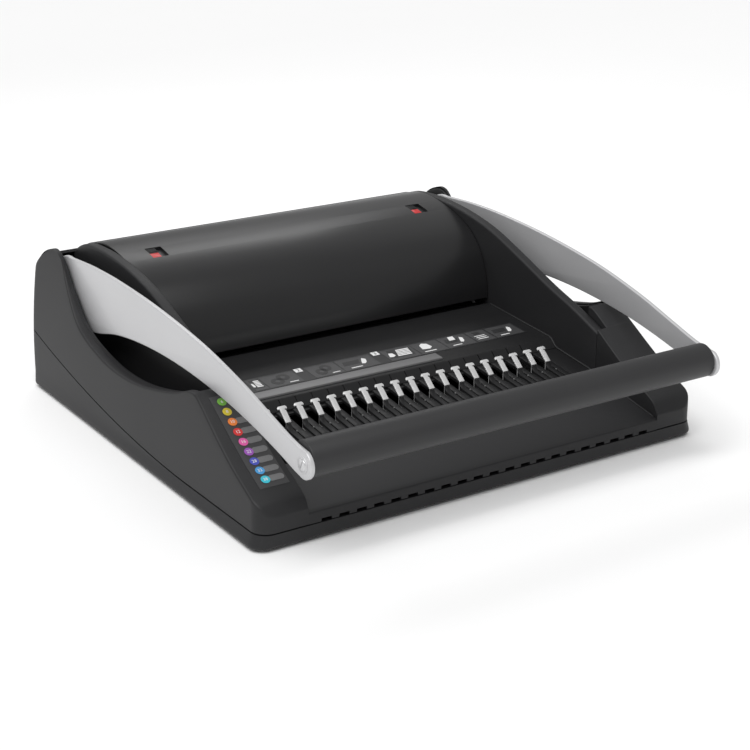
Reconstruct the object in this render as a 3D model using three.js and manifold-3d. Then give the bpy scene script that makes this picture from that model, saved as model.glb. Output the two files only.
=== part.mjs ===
// Manual comb binding machine: punches a row of holes in paper and opens plastic combs.
// Millimetres, +Z up, front towards -Y, origin under the middle of the body.
import * as THREE from "three";
import { mergeVertices } from "three/addons/utils/BufferGeometryUtils.js";
import Module from "manifold-3d";

const wasm = await Module();
wasm.setup();

// ---- driving dimensions -------------------------------------------------------------------
const PITCH = 14.2875; // 9/16 inch, the pitch of every plastic comb
const HOLES = 19; // rings of a letter size comb
const NOTCHES = 21; // marks along the front edge
const GAP = 0.3; // between pieces that touch

const BODY_REAR = 393; // depth of the body, from its front face at y = 0
const GRIP_FRONT = -41.6; // the handle stands this far before the body
const HALF_WIDTH_FOOT = 200;
const HALF_WIDTH_SEAM = 195.6;
const HALF_WIDTH_TOP = 184;
const SPLAY = 0.02; // the sides and the arms open out towards the rear, mm for each mm of depth
const TOP_Z = 131;
const WALL = 3;
const FLOOR_Z = 2; // underside of the tray, over the feet
const SEAM_Z = 13.5; // joint of tray and top housing at the front

const INNER_WALL_X = 157; // the comb bay lies between these walls
const INNER_WALL_T = 9;
const SLOT_X = 181.8; // inner face of the outer cheek at the front, past the arm's slot
const SLOT_FRONT = 99;
const INNER_WALL_FRONT = 76;
const SLOT_REAR = 371.5;

const PIVOT = { y: 332, z: 96 }; // handle shaft
const SHAFT_R = 4.5;
const GRIP = { y: -26.4, z: 76.7 };
const GRIP_R = 13;
const ARM_X = 176.3; // inner face of the arm at the front
const ARM_T = 3.5;
const ARM_END = { y: -31, z: 75.4 };
const ARM_END_R = 10.6;
const BOSS_R = 30;

const THROAT_Z = 54.5; // top of the die, where the paper slides in
const THROAT_H = 6;
const PUNCH_Y = 242;
const GEAR_R = 7; // pitch radius of the pinions: 7 mm of travel a radian
const GEAR_X = 128;
const TRAY_TOP = 27;

const SHIFT_Y = -(BODY_REAR + GRIP_FRONT) / 2; // puts the origin under the middle of the box

// ---- materials ----------------------------------------------------------------------------
const finish = (color, roughness, metalness) =>
  new THREE.MeshStandardMaterial({ color, roughness, metalness });
const CHARCOAL = finish(0x3c3c3e, 0.6, 0);
const BLACK = finish(0x1b1b1d, 0.45, 0);
const GREY = finish(0x6e7072, 0.6, 0);
const LID_GREY = finish(0x2c2c2e, 0.3, 0);
const SILVER = finish(0xc3c4c6, 0.4, 0.2);
const STEEL = finish(0x9a9ca0, 0.35, 0.9);
const RUBBER = finish(0x141414, 0.9, 0);
const RED = finish(0xb3161d, 0.45, 0);
const PAPER = finish(0x4a4a4c, 0.7, 0);

// ---- solids -------------------------------------------------------------------------------
function solid(geometry) {
  geometry.deleteAttribute("normal");
  geometry.deleteAttribute("uv");
  const merged = mergeVertices(geometry, 1e-4);
  return new wasm.Manifold(
    new wasm.Mesh({
      numProp: 3,
      vertProperties: merged.attributes.position.array,
      triVerts: new Uint32Array(merged.index.array),
    }),
  );
}

function meshOf(name, shape, material) {
  const data = shape.getMesh();
  const geometry = new THREE.BufferGeometry();
  geometry.setAttribute("position", new THREE.BufferAttribute(data.vertProperties, 3));
  geometry.setIndex(new THREE.BufferAttribute(data.triVerts, 1));
  geometry.computeVertexNormals();
  const mesh = new THREE.Mesh(geometry, material);
  mesh.name = name;
  return mesh;
}

function box(x0, x1, y0, y1, z0, z1) {
  const geometry = new THREE.BoxGeometry(x1 - x0, y1 - y0, z1 - z0);
  geometry.translate((x0 + x1) / 2, (y0 + y1) / 2, (z0 + z1) / 2);
  return solid(geometry);
}

// A box given by the middle of its X range.
const boxAt = (x, halfX, y0, y1, z0, z1) => box(x - halfX, x + halfX, y0, y1, z0, z1);

// A side outline in (y, z), run along X. With a splay its ends open out towards the rear.
function alongX(shape, x0, x1, curveSegments = 3, splay = 0) {
  const geometry = new THREE.ExtrudeGeometry(shape, {
    depth: x1 - x0,
    bevelEnabled: false,
    curveSegments,
  });
  const turn = new THREE.Matrix4().makeBasis(
    new THREE.Vector3(splay, 1, 0),
    new THREE.Vector3(0, 0, 1),
    new THREE.Vector3(1, 0, 0),
  );
  geometry.applyMatrix4(turn);
  geometry.translate(x0, 0, 0);
  return solid(geometry);
}

const outline = (points) => new THREE.Shape(points.map(([y, z]) => new THREE.Vector2(y, z)));

// A smooth line in (y, z) and a strip under it, between two depths below its face.
function ribbon(line, top, bottom, steps = 16) {
  const curve = new THREE.SplineCurve(line.map(([y, z]) => new THREE.Vector2(y, z)));
  const below = (depth) => {
    const points = [];
    for (let i = 0; i <= steps; i++) {
      const at = curve.getPoint(i / steps);
      const along = curve.getTangent(i / steps);
      points.push([at.x + along.y * depth, at.y - along.x * depth]);
    }
    return points;
  };
  return outline([...below(bottom), ...below(top).reverse()]);
}

function rodX(radius, x0, x1, y, z, sides = 16) {
  const geometry = new THREE.CylinderGeometry(radius, radius, x1 - x0, sides);
  geometry.rotateZ(Math.PI / 2);
  geometry.translate((x0 + x1) / 2, y, z);
  return solid(geometry);
}

function rodZ(radius, x, y, z0, z1, sides = 16) {
  const geometry = new THREE.CylinderGeometry(radius, radius, z1 - z0, sides);
  geometry.rotateX(Math.PI / 2);
  geometry.translate(x, y, (z0 + z1) / 2);
  return solid(geometry);
}

const union = (shapes) => shapes.reduce((all, shape) => all.add(shape));

const holeX = (index) => (index - (HOLES - 1) / 2) * PITCH;
const eachHole = (make) => Array.from({ length: HOLES }, (_, index) => make(holeX(index)));

// A left piece is the right one mirrored in X.
const mirrored = (shape, side) => (side < 0 ? shape.mirror([1, 0, 0]) : shape);

// ---- the outer form of the body -----------------------------------------------------------
// The joint between tray and top housing climbs towards the rear.
function seamZ(y) {
  const run = Math.max(0, (y - 110) / (BODY_REAR - 110));
  return SEAM_Z + 40.5 * run ** 1.8;
}

function seamPoints(y0, y1, lift, steps = 8) {
  const points = [];
  for (let i = 0; i <= steps; i++) {
    const y = y0 + ((y1 - y0) * i) / steps;
    points.push([y, seamZ(y) + lift]);
  }
  return points;
}

// The sides flare out at the foot and lean in towards the top.
function halfWidth(z) {
  if (z < SEAM_Z) return HALF_WIDTH_FOOT + (HALF_WIDTH_SEAM - HALF_WIDTH_FOOT) * (z / SEAM_Z);
  const rise = (z - SEAM_Z) / (TOP_Z - SEAM_Z);
  return HALF_WIDTH_SEAM + (HALF_WIDTH_TOP - HALF_WIDTH_SEAM) * rise ** 2;
}

function roundedPlan(halfX, y0, y1, radius) {
  const shape = new THREE.Shape();
  shape.absarc(halfX - radius, y1 - radius, radius, 0, Math.PI / 2);
  shape.absarc(radius - halfX, y1 - radius, radius, Math.PI / 2, Math.PI);
  shape.absarc(radius - halfX, y0 + radius, radius, Math.PI, 1.5 * Math.PI);
  shape.absarc(halfX - radius, y0 + radius, radius, 1.5 * Math.PI, 2 * Math.PI);
  return shape;
}

function bodyForm(z0, z1, inset, steps) {
  const plan = roundedPlan(HALF_WIDTH_FOOT, inset, BODY_REAR - inset, 12 - inset);
  const geometry = new THREE.ExtrudeGeometry(plan, {
    depth: z1 - z0,
    bevelEnabled: false,
    curveSegments: 3,
    steps,
  });
  geometry.translate(0, 0, z0);
  const place = geometry.attributes.position;
  for (let i = 0; i < place.count; i++) {
    const halfX = halfWidth(place.getZ(i)) + SPLAY * place.getY(i);
    const scale = (halfX - inset) / HALF_WIDTH_FOOT;
    place.setX(i, place.getX(i) * scale);
  }
  return solid(geometry);
}

// ---- tray, feet and chip drawer -----------------------------------------------------------
function baseTray() {
  const seam = seamPoints(-10, BODY_REAR + 10, 0, 10);
  const above = outline([...seam, [BODY_REAR + 10, 90], [-10, 90]]);
  let tray = bodyForm(FLOOR_Z, 60, 0, 5);
  tray = tray.subtract(bodyForm(FLOOR_Z + 2.5, 70, WALL, 4));
  tray = tray.subtract(alongX(above, -220, 220));
  return tray.subtract(box(-147, 147, BODY_REAR - 8, BODY_REAR + 5, 5, TRAY_TOP + 1.5));
}

function chipTray() {
  const drawer = box(-136, 136, 226, BODY_REAR - 3.5, 5.5, TRAY_TOP - 1);
  const hollow = box(-134, 134, 228, BODY_REAR - 6, 7.5, TRAY_TOP + 5);
  const front = box(-146.5, 146.5, BODY_REAR - 3.8, BODY_REAR - 0.8, 5.5, TRAY_TOP + 1);
  const finger = box(-25, 25, BODY_REAR - 2.6, BODY_REAR, 10, 22);
  return drawer.subtract(hollow).add(front).subtract(finger);
}

function foot(x, y) {
  return rodZ(9, x, y, 0, FLOOR_Z - GAP, 20);
}

function baseScrew(x, y) {
  return rodZ(4, x, y, 0.8, FLOOR_Z - GAP, 12);
}

// ---- top housing --------------------------------------------------------------------------
// Front slope of the cheeks, from the nose up to the crest.
const CHEEK_SLOPE = [
  [0, 26],
  [6, 34.5],
  [18, 41],
  [38, 51],
  [60, 64],
  [86, 80.5],
  [97, 86],
  [108, 84],
];

// The outer cheek dips in the middle so that the arm shows over it.
function cheekShape(inset) {
  const top = [
    [BODY_REAR - inset, 88 - inset],
    [386 - inset, 106 - inset],
    [363, 122.5 - inset],
    [345, 129.5 - inset],
    [334, 127 - inset],
    [318, 103 - inset],
    [293, 79 - inset],
    [258, 67.5 - inset],
    [222, 63 - inset],
    [180, 65.5 - inset],
    [130, 76 - inset],
    ...CHEEK_SLOPE.map(([y, z]) => [Math.max(y, inset), z - inset]).reverse(),
  ].map(([y, z]) => new THREE.Vector2(y, z));
  const seam = seamPoints(inset, BODY_REAR - inset, inset ? -20 : GAP);
  const shape = outline(seam);
  shape.splineThru(top);
  return shape;
}

function cheek(side) {
  const clip = bodyForm(0, 140, 0, 8);
  const core = bodyForm(0, 140, WALL, 8);
  const shell = alongX(cheekShape(0), SLOT_X, 215, 2, SPLAY).intersect(clip);
  const hollow = alongX(cheekShape(WALL), SLOT_X + 1.6, 215, 2, SPLAY).intersect(core);
  const slot = box(100, 215, SLOT_FRONT, 400, 0, 140);
  const wallEnd = box(100, INNER_WALL_X + INNER_WALL_T + GAP, INNER_WALL_FRONT, 400, 0, 140);
  const nose = alongX(cheekShape(0), INNER_WALL_X, 215, 2).intersect(clip);
  const noseCore = alongX(cheekShape(WALL), INNER_WALL_X + WALL, 215, 2).intersect(core);
  const noseEnd = box(100, 215, INNER_WALL_FRONT - WALL, 400, 0, 140);
  return mirrored(
    shell
      .subtract(hollow)
      .add(nose.subtract(slot).subtract(wallEnd).subtract(noseCore.subtract(noseEnd))),
    side,
  );
}

function innerWallShape(inset) {
  const y0 = INNER_WALL_FRONT + GAP + inset;
  const y1 = SLOT_REAR - GAP - inset;
  const shape = outline(seamPoints(y0, y1, inset ? -20 : GAP));
  shape.lineTo(y1, 117 - inset);
  shape.splineThru(
    [
      [363, 123.5 - inset],
      [345, 130 - inset],
      [320, 132.3 - inset],
      [295, 132.3 - inset],
      [262, 129.5 - inset],
      [225, 122.5 - inset],
      [187, 110 - inset],
      [143, 94 - inset],
      [108, 83 - inset],
      [y0, 71 - inset],
    ].map(([y, z]) => new THREE.Vector2(y, z)),
  );
  return shape;
}

function innerWall(side) {
  const x1 = INNER_WALL_X + INNER_WALL_T;
  const wall = alongX(innerWallShape(0), INNER_WALL_X, x1, 2);
  const hollow = alongX(innerWallShape(2.5), INNER_WALL_X + 2.2, x1 - 2.2, 2);
  const bearing = rodX(9.3, INNER_WALL_X - 1, x1 + 1, PIVOT.y, PIVOT.z, 20);
  return mirrored(wall.subtract(hollow).subtract(bearing), side);
}

// Front apron: face, crest and the sloping rest under the grip, with the row of marks.
function frontApron() {
  const x = INNER_WALL_X - GAP;
  const apron = outline([
    [0, SEAM_Z + GAP],
    [WALL, SEAM_Z + GAP],
    [WALL, 19.2],
    [60, 30],
    [60, 33],
    [4, 23.2],
    [1.5, 22.4],
    [0, 20.5],
  ]);
  let shape = alongX(apron, -x, x);
  for (let i = 0; i < NOTCHES; i++) {
    const at = (i - (NOTCHES - 1) / 2) * PITCH;
    shape = shape.subtract(boxAt(at, 4.2, -1, 1.2, 0, SEAM_Z + 2.3));
  }
  return shape;
}

const RACK_REAR = 126.7;

// Ribbed rest for the comb, slotted where the hooks come up through it.
function combRack() {
  const x = INNER_WALL_X - GAP;
  const plate = outline([
    [60 + GAP, 30.3],
    [RACK_REAR, 40.2],
    [RACK_REAR, 43.3],
    [84, 38.4],
    [60 + GAP, 33.4],
  ]);
  let shape = alongX(plate, -x, x);
  for (const at of eachHole((hx) => hx)) {
    shape = shape.subtract(boxAt(at, 3, 95, 123.5, 25, 48));
    shape = shape.subtract(boxAt(at + PITCH / 2, 1.6, 64, 116, 36.2, 50).intersect(ribGroove()));
  }
  return shape;
}

// The grooves follow the slope of the rack 1.2 mm under its face.
function ribGroove() {
  return alongX(outline([[64, 33], [84, 37.2], [116, 40.9], [116, 60], [64, 60]]), -160, 160);
}

// Deck that carries the paper into the throat, with the riser behind the comb.
function combDeck() {
  const deck = outline([
    [RACK_REAR + GAP, 40.4],
    [131.5, 44.4],
    [138, 47.6],
    [221, 53.2],
    [226, THROAT_Z - 2.5],
    [233.4, THROAT_Z - 2.5],
    [233.4, THROAT_Z],
    [227, THROAT_Z],
    [222, 55.8],
    [134.5, 50.2],
    [RACK_REAR + GAP, 43.4],
  ]);
  return alongX(deck, GAP - INNER_WALL_X, INNER_WALL_X - GAP);
}

// A thin strip laid on the deck between two depths.
function deckStrip(x0, x1, y0, y1, thick) {
  const face = (y) => 50.2 + ((y - 134.5) * 5.6) / 87.5 + GAP;
  const strip = outline([
    [y0, face(y0)],
    [y1, face(y1)],
    [y1, face(y1) + thick],
    [y0, face(y0) + thick],
  ]);
  return alongX(strip, x0, x1);
}

// Comb size chart on the slope of the left cheek, narrower where it passes the arm.
function sizeChart() {
  const strip = (y0, y1, x1) =>
    alongX(ribbon(CHEEK_SLOPE, -0.8, -0.4, 20), -185, x1).intersect(box(-200, 0, y0, y1, 0, 140));
  return strip(17, 74, -162).add(strip(17, 90, -170));
}

// It is wider behind the slots of the arms, which it closes.
function rearCover() {
  const line = [
    [346.9, 129.6],
    [363, 122.5],
    [386, 106],
    [BODY_REAR, 88],
    [BODY_REAR, seamZ(BODY_REAR) + GAP],
  ];
  const x = INNER_WALL_X - GAP;
  const middle = alongX(ribbon(line, 0, 2.5), -x, x);
  const wing = alongX(ribbon(line, 0, 2.5), x - 15, SLOT_X - GAP, 3, SPLAY);
  const end = wing.intersect(box(100, 215, SLOT_REAR, 400, 0, 140));
  return middle.add(end).add(mirrored(end, -1));
}

// ---- punch, under the lid -----------------------------------------------------------------
function sidePlate(side) {
  const plate = outline([
    [234, 5],
    [346, 5],
    [346, 118],
    [262, 112],
    [245, 100],
    [236, 80],
    [236, THROAT_Z + THROAT_H],
    [234, THROAT_Z],
  ]);
  const bearing = rodX(9.3, 140, 160, PIVOT.y, PIVOT.z, 20);
  return mirrored(alongX(plate, 148, 150.5).subtract(bearing), side);
}

function shaftBushing(side) {
  const outer = rodX(9, 147, INNER_WALL_X + INNER_WALL_T + 0.8, PIVOT.y, PIVOT.z, 20);
  return mirrored(outer.subtract(rodX(SHAFT_R + GAP, 140, 170, PIVOT.y, PIVOT.z, 20)), side);
}

function slottedBar(halfX, y0, y1, z0, z1) {
  return eachHole((at) => boxAt(at, 4.2, PUNCH_Y - 1.9, PUNCH_Y + 1.9, z0 - 1, z1 + 1)).reduce(
    (bar, slot) => bar.subtract(slot),
    box(-halfX, halfX, y0, y1, z0, z1),
  );
}

const dieBlock = () => slottedBar(147.5, 234, 250, THROAT_Z - 9, THROAT_Z);
const punchGuide = () =>
  slottedBar(147.5, 236.3, 250, THROAT_Z + THROAT_H, THROAT_Z + THROAT_H + 6);
const depthStop = () => box(-147.5, 147.5, 250.4, 253, THROAT_Z - 9, THROAT_Z + THROAT_H + 6);

function punchBar() {
  const pins = eachHole((at) => boxAt(at, 3.9, PUNCH_Y - 1.6, PUNCH_Y + 1.6, THROAT_Z - 3, 75));
  return union([box(-145, 145, 238, 250, 74, 86), ...pins]);
}

// ---- gears --------------------------------------------------------------------------------
const TEETH = 14;
const TOOTH_STEP = (2 * Math.PI * GEAR_R) / TEETH;

function pinionShape() {
  const points = [];
  for (let i = 0; i < TEETH; i++) {
    const at = (i / TEETH) * 2 * Math.PI;
    const ring = (radius, turn) => [
      PIVOT.y + radius * Math.cos(at + turn),
      PIVOT.z + radius * Math.sin(at + turn),
    ];
    const root = GEAR_R - 1;
    const tip = GEAR_R + 0.7;
    points.push(ring(root, -0.13), ring(tip, -0.05), ring(tip, 0.05), ring(root, 0.13));
  }
  return outline(points);
}

// The flange keeps the two racks apart.
function pinion(side) {
  const ring = alongX(pinionShape(), GEAR_X, GEAR_X + 18);
  const hub = rodX(9.5, GEAR_X + 8, GEAR_X + 10, PIVOT.y, PIVOT.z, 20);
  return mirrored(ring.add(hub).subtract(rodX(SHAFT_R + GAP, 120, 150, PIVOT.y, PIVOT.z)), side);
}

// Upright rack before the shaft that lifts the punch bar.
function punchRack(side) {
  const face = PIVOT.y - GEAR_R - 0.9;
  const points = [
    [250.4, 78],
    [face - 7, 78],
    [face - 7, 68],
  ];
  for (let i = -8; i <= 1; i++) {
    const z = PIVOT.z + (i + 0.5) * TOOTH_STEP;
    points.push([face, z - 0.75], [face + 1.5, z - 0.25], [face + 1.5, z + 0.25], [face, z + 0.75]);
  }
  points.push([face, 102], [face - 7, 102], [face - 7, 86], [250.4, 86]);
  return mirrored(alongX(outline(points), GEAR_X + 0.6, GEAR_X + 7.2), side);
}

// Long link under the deck with a rack over the shaft, which draws the hooks.
function hookLink(side) {
  const face = PIVOT.z + GEAR_R + 0.9;
  const points = [
    [106.4, 29],
    [298, 29],
    [298, face],
  ];
  for (let i = -6; i <= 1; i++) {
    const y = PIVOT.y + i * TOOTH_STEP;
    points.push([y - 0.75, face], [y - 0.25, face - 1.5], [y + 0.25, face - 1.5], [y + 0.75, face]);
  }
  points.push([PIVOT.y + 6, face], [PIVOT.y + 6, 110], [290, 110], [290, 35], [106.4, 35]);
  return mirrored(alongX(outline(points), GEAR_X + 11.2, GEAR_X + 17.4), side);
}

// ---- hooks --------------------------------------------------------------------------------
function hookBar() {
  const stem = outline([
    [99, 34],
    [103.5, 34],
    [103.5, 44.5],
    [112.5, 52.8],
    [116.2, 53.2],
    [116.2, 55.2],
    [111.3, 55],
    [101, 46],
    [99, 42],
  ]);
  const head = outline([[111.2, 53], [116.2, 53.2], [116.2, 55.2], [111.2, 55]]);
  const hooks = eachHole((at) => alongX(stem, at - 2.1, at + 2.1));
  const heads = eachHole((at) => alongX(head, at - 3.4, at + 3.4));
  return union([box(-149, 149, 96, 106, 29, 35), ...hooks, ...heads]);
}

function barGuide(side) {
  return mirrored(box(138, 152, 92, 122, FLOOR_Z + 2.5 + GAP, 28.6), side);
}

// ---- handle -------------------------------------------------------------------------------
function armShape() {
  const shape = new THREE.Shape();
  shape.absarc(ARM_END.y, ARM_END.z, ARM_END_R, 0.62 * Math.PI, 1.62 * Math.PI);
  shape.splineThru(
    [
      [-20, 67],
      [2, 72.8],
      [34, 79.7],
      [67, 85],
      [102, 88.6],
      [139, 90.5],
      [178, 90.2],
      [218, 87.2],
      [252, 82],
      [285, 73.5],
    ].map(([y, z]) => new THREE.Vector2(y, z)),
  );
  shape.absarc(PIVOT.y, PIVOT.z, BOSS_R, -0.62 * Math.PI, 0.54 * Math.PI);
  shape.splineThru(
    [
      [297, 128],
      [275, 128.8],
      [242, 128.8],
      [191, 126.6],
      [142, 122.2],
      [98, 116.2],
      [50, 106],
      [15, 96.2],
      [-15, 88],
    ].map(([y, z]) => new THREE.Vector2(y, z)),
  );
  return shape;
}

// Outer face of the arm at a depth.
const armOuter = (y) => ARM_X + ARM_T + SPLAY * y;

function arm(side) {
  const blade = alongX(armShape(), ARM_X, ARM_X + ARM_T, 5, SPLAY);
  const bore = rodX(SHAFT_R + GAP, 160, 200, PIVOT.y, PIVOT.z);
  const screwBore = rodX(4.3, 160, 200, ARM_END.y, ARM_END.z);
  return mirrored(blade.subtract(bore).subtract(screwBore), side);
}

const handleShaft = () => rodX(SHAFT_R, -armOuter(PIVOT.y), armOuter(PIVOT.y), PIVOT.y, PIVOT.z);

function shaftScrew(side) {
  const cheekX = SLOT_X + SPLAY * PIVOT.y;
  return mirrored(rodX(8, armOuter(PIVOT.y) + GAP, cheekX - 0.6, PIVOT.y, PIVOT.z), side);
}

// The grip reaches from arm to arm, clear of their inner faces.
const gripEnd = () => ARM_X + SPLAY * (GRIP.y - GRIP_R) - GAP;
const gripCore = () => rodX(6, -gripEnd(), gripEnd(), GRIP.y, GRIP.z);

function gripSleeve() {
  const sleeve = rodX(GRIP_R, -gripEnd(), gripEnd(), GRIP.y, GRIP.z, 32);
  return sleeve.subtract(rodX(6 + GAP, -200, 200, GRIP.y, GRIP.z));
}

function gripScrew(side) {
  const { y, z } = ARM_END;
  const outer = armOuter(y);
  const slot = box(outer + 0.4, 200, y - 0.6, y + 0.6, z - 6, z + 6);
  return mirrored(rodX(4, gripEnd() + GAP, outer + 1, y, z).subtract(slot), side);
}

// ---- lid ----------------------------------------------------------------------------------
const LID_X = INNER_WALL_X - 0.7;
const LID_T = 2.5;
const LID_LINE = [
  [223.5, 61],
  [225, 75],
  [230.5, 91.5],
  [238, 103.5],
  [251, 115.5],
  [270, 124.3],
  [292, 130.3],
  [318, 133.4],
  [335, 132.5],
  [346.3, 129.8],
];
const HINGE = { y: 229.5, z: 64 };
const WINDOW = { x: 126.5, half: 7, front: 284, rear: 301 };

function lid() {
  let shell = alongX(ribbon(LID_LINE, 0, LID_T, 26), -LID_X, LID_X);
  for (const side of [-1, 1]) {
    const ear = rodX(5, 151.5, LID_X, HINGE.y, HINGE.z).add(box(151.5, LID_X, 225.5, 230, 61, 68));
    shell = shell.add(mirrored(ear, side));
    shell = shell.subtract(mirrored(rodX(2.3, 150, 160, HINGE.y, HINGE.z, 12), side));
    shell = shell.subtract(
      boxAt(side * WINDOW.x, WINDOW.half, WINDOW.front, WINDOW.rear, 110, 140),
    );
  }
  return shell;
}

const hingePin = (side) => mirrored(rodX(2, 150.8, 156.8, HINGE.y, HINGE.z, 12), side);

// Piece of a layer under the lid's face.
function lidLayer(x0, x1, y0, y1, top, bottom) {
  return alongX(ribbon(LID_LINE, top, bottom, 26), x0, x1).intersect(
    box(x0 - 1, x1 + 1, y0, y1, 100, 140),
  );
}

function latchSlider(side) {
  const x = side * WINDOW.x;
  const plate = lidLayer(x - 17, x + 12, WINDOW.front - 6, WINDOW.rear + 6, LID_T + GAP, LID_T + 2);
  const pad = lidLayer(x - 6.6, x + 1.4, 293.2, WINDOW.rear - 0.6, 0.4, LID_T + 1);
  return plate.add(pad);
}

function latchFlag(side) {
  const x = side * WINDOW.x;
  return lidLayer(x - 6.6, x + 1.4, WINDOW.front + 0.6, 292.8, 1, LID_T);
}

// ---- assembly -----------------------------------------------------------------------------
const machine = new THREE.Group();
machine.position.y = SHIFT_Y;

const add = (name, shape, material) => machine.add(meshOf(name, shape, material));

function addPair(name, make, material) {
  add("left_" + name, make(-1), material);
  add("right_" + name, make(1), material);
}

add("base_tray", baseTray(), CHARCOAL);
for (const [end, y] of [["front", 30], ["rear", 363]]) {
  for (const [side, x] of [["left", -172], ["right", 172]]) {
    add("foot_" + end + "_" + side, foot(x, y), RUBBER);
    add("base_screw_" + end + "_" + side, baseScrew(x, y + (y > 100 ? -30 : 30)), STEEL);
  }
}
add("chip_tray", chipTray(), CHARCOAL);

addPair("cheek", cheek, CHARCOAL);
addPair("inner_wall", innerWall, CHARCOAL);
add("front_apron", frontApron(), CHARCOAL);
add("comb_rack", combRack(), BLACK);
add("comb_deck", combDeck(), BLACK);
add("gauge_strip", deckStrip(-128, 50, 139.5, 150, 1.2), GREY);
add("instruction_label", deckStrip(-146, 146, 153, 177, 0.3), PAPER);
add("size_chart_label", sizeChart(), PAPER);
add("rear_cover", rearCover(), CHARCOAL);

addPair("side_plate", sidePlate, STEEL);
addPair("shaft_bushing", shaftBushing, BLACK);
add("die_block", dieBlock(), STEEL);
add("punch_guide", punchGuide(), STEEL);
add("depth_stop", depthStop(), BLACK);
add("punch_bar", punchBar(), STEEL);
addPair("punch_rack", punchRack, STEEL);

add("hook_bar", hookBar(), SILVER);
addPair("hook_link", hookLink, STEEL);
addPair("bar_guide", barGuide, BLACK);

addPair("arm", arm, SILVER);
add("handle_shaft", handleShaft(), STEEL);
addPair("pinion", pinion, STEEL);
addPair("shaft_screw", shaftScrew, STEEL);
add("grip_core", gripCore(), STEEL);
add("grip_sleeve", gripSleeve(), BLACK);
addPair("grip_screw", gripScrew, SILVER);

add("lid", lid(), LID_GREY);
addPair("hinge_pin", hingePin, STEEL);
addPair("latch_slider", latchSlider, GREY);
addPair("latch_flag", latchFlag, RED);

export default machine;
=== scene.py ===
import bmesh
import bpy
import math
from mathutils import Matrix, Vector


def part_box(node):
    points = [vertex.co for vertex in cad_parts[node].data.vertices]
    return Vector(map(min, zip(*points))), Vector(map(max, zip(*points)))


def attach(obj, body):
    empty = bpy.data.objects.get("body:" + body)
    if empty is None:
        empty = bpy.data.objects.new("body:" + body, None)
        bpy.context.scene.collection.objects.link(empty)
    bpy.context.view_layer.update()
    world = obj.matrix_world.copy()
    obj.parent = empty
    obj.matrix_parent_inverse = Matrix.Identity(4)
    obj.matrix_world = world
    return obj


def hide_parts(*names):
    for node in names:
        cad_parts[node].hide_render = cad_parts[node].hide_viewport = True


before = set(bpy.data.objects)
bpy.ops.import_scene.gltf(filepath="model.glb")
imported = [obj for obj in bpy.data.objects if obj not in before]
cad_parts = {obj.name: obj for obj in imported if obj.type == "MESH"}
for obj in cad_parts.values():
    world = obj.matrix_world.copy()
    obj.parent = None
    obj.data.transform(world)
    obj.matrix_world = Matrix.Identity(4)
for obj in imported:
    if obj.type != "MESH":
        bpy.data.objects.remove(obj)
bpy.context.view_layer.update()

# ---- room --------------------------------------------------------------------------------
# A pale seamless floor under an even studio light: a very broad one from above the front
# left, and a strip behind that draws the top of the lid and the edges.
FLOOR_SIZE = 30.0
CAMERA_PLACE = (-0.6620, -1.0516, 0.5058)
CAMERA_TURN = (math.radians(69.26), 0.0, math.radians(-32.52))
LENS = 78.5

camera_data = bpy.data.cameras.new("camera")
camera_data.lens = LENS
camera_data.sensor_width = 36.0
camera = bpy.data.objects.new("camera", camera_data)
camera.location = CAMERA_PLACE
camera.rotation_euler = CAMERA_TURN
bpy.context.scene.collection.objects.link(camera)
bpy.context.scene.camera = camera
bpy.context.scene.view_settings.view_transform = "Standard"

world = bpy.data.worlds.new("studio")
world.use_nodes = True
world.node_tree.nodes["Background"].inputs["Color"].default_value = (1, 1, 1, 1)
world.node_tree.nodes["Background"].inputs["Strength"].default_value = 0.42
bpy.context.scene.world = world


def aim(holder, place, target):
    holder.location = place
    holder.rotation_mode = "QUATERNION"
    holder.rotation_quaternion = (Vector(target) - Vector(place)).to_track_quat("-Z", "Y")
    bpy.context.scene.collection.objects.link(holder)


sun = bpy.data.lights.new("broad_light", "SUN")
sun.energy = 2.3
sun.angle = math.radians(50)
aim(bpy.data.objects.new("broad_light", sun), (-0.6, -0.5, 1.6), (0, 0, 0))
strip_light = bpy.data.lights.new("strip_light", "AREA")
strip_light.shape = "RECTANGLE"
strip_light.size = 1.4
strip_light.size_y = 0.25
strip_light.energy = 3
aim(bpy.data.objects.new("strip_light", strip_light), (0.0, 0.9, 0.9), (0, 0, 0.1))


class Value:
    """A shader socket that takes part in sums."""

    def __init__(self, finish, socket):
        self.finish = finish
        self.socket = socket

    def maths(self, operation, first, second):
        return self.finish.node("ShaderNodeMath", {0: first, 1: second}, {"operation": operation})

    def __add__(self, other):
        return self.maths("ADD", self, other)

    def __radd__(self, other):
        return self.maths("ADD", other, self)

    def __sub__(self, other):
        return self.maths("SUBTRACT", self, other)

    def __rsub__(self, other):
        return self.maths("SUBTRACT", other, self)

    def __mul__(self, other):
        return self.maths("MULTIPLY", self, other)

    def __rmul__(self, other):
        return self.maths("MULTIPLY", other, self)


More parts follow.
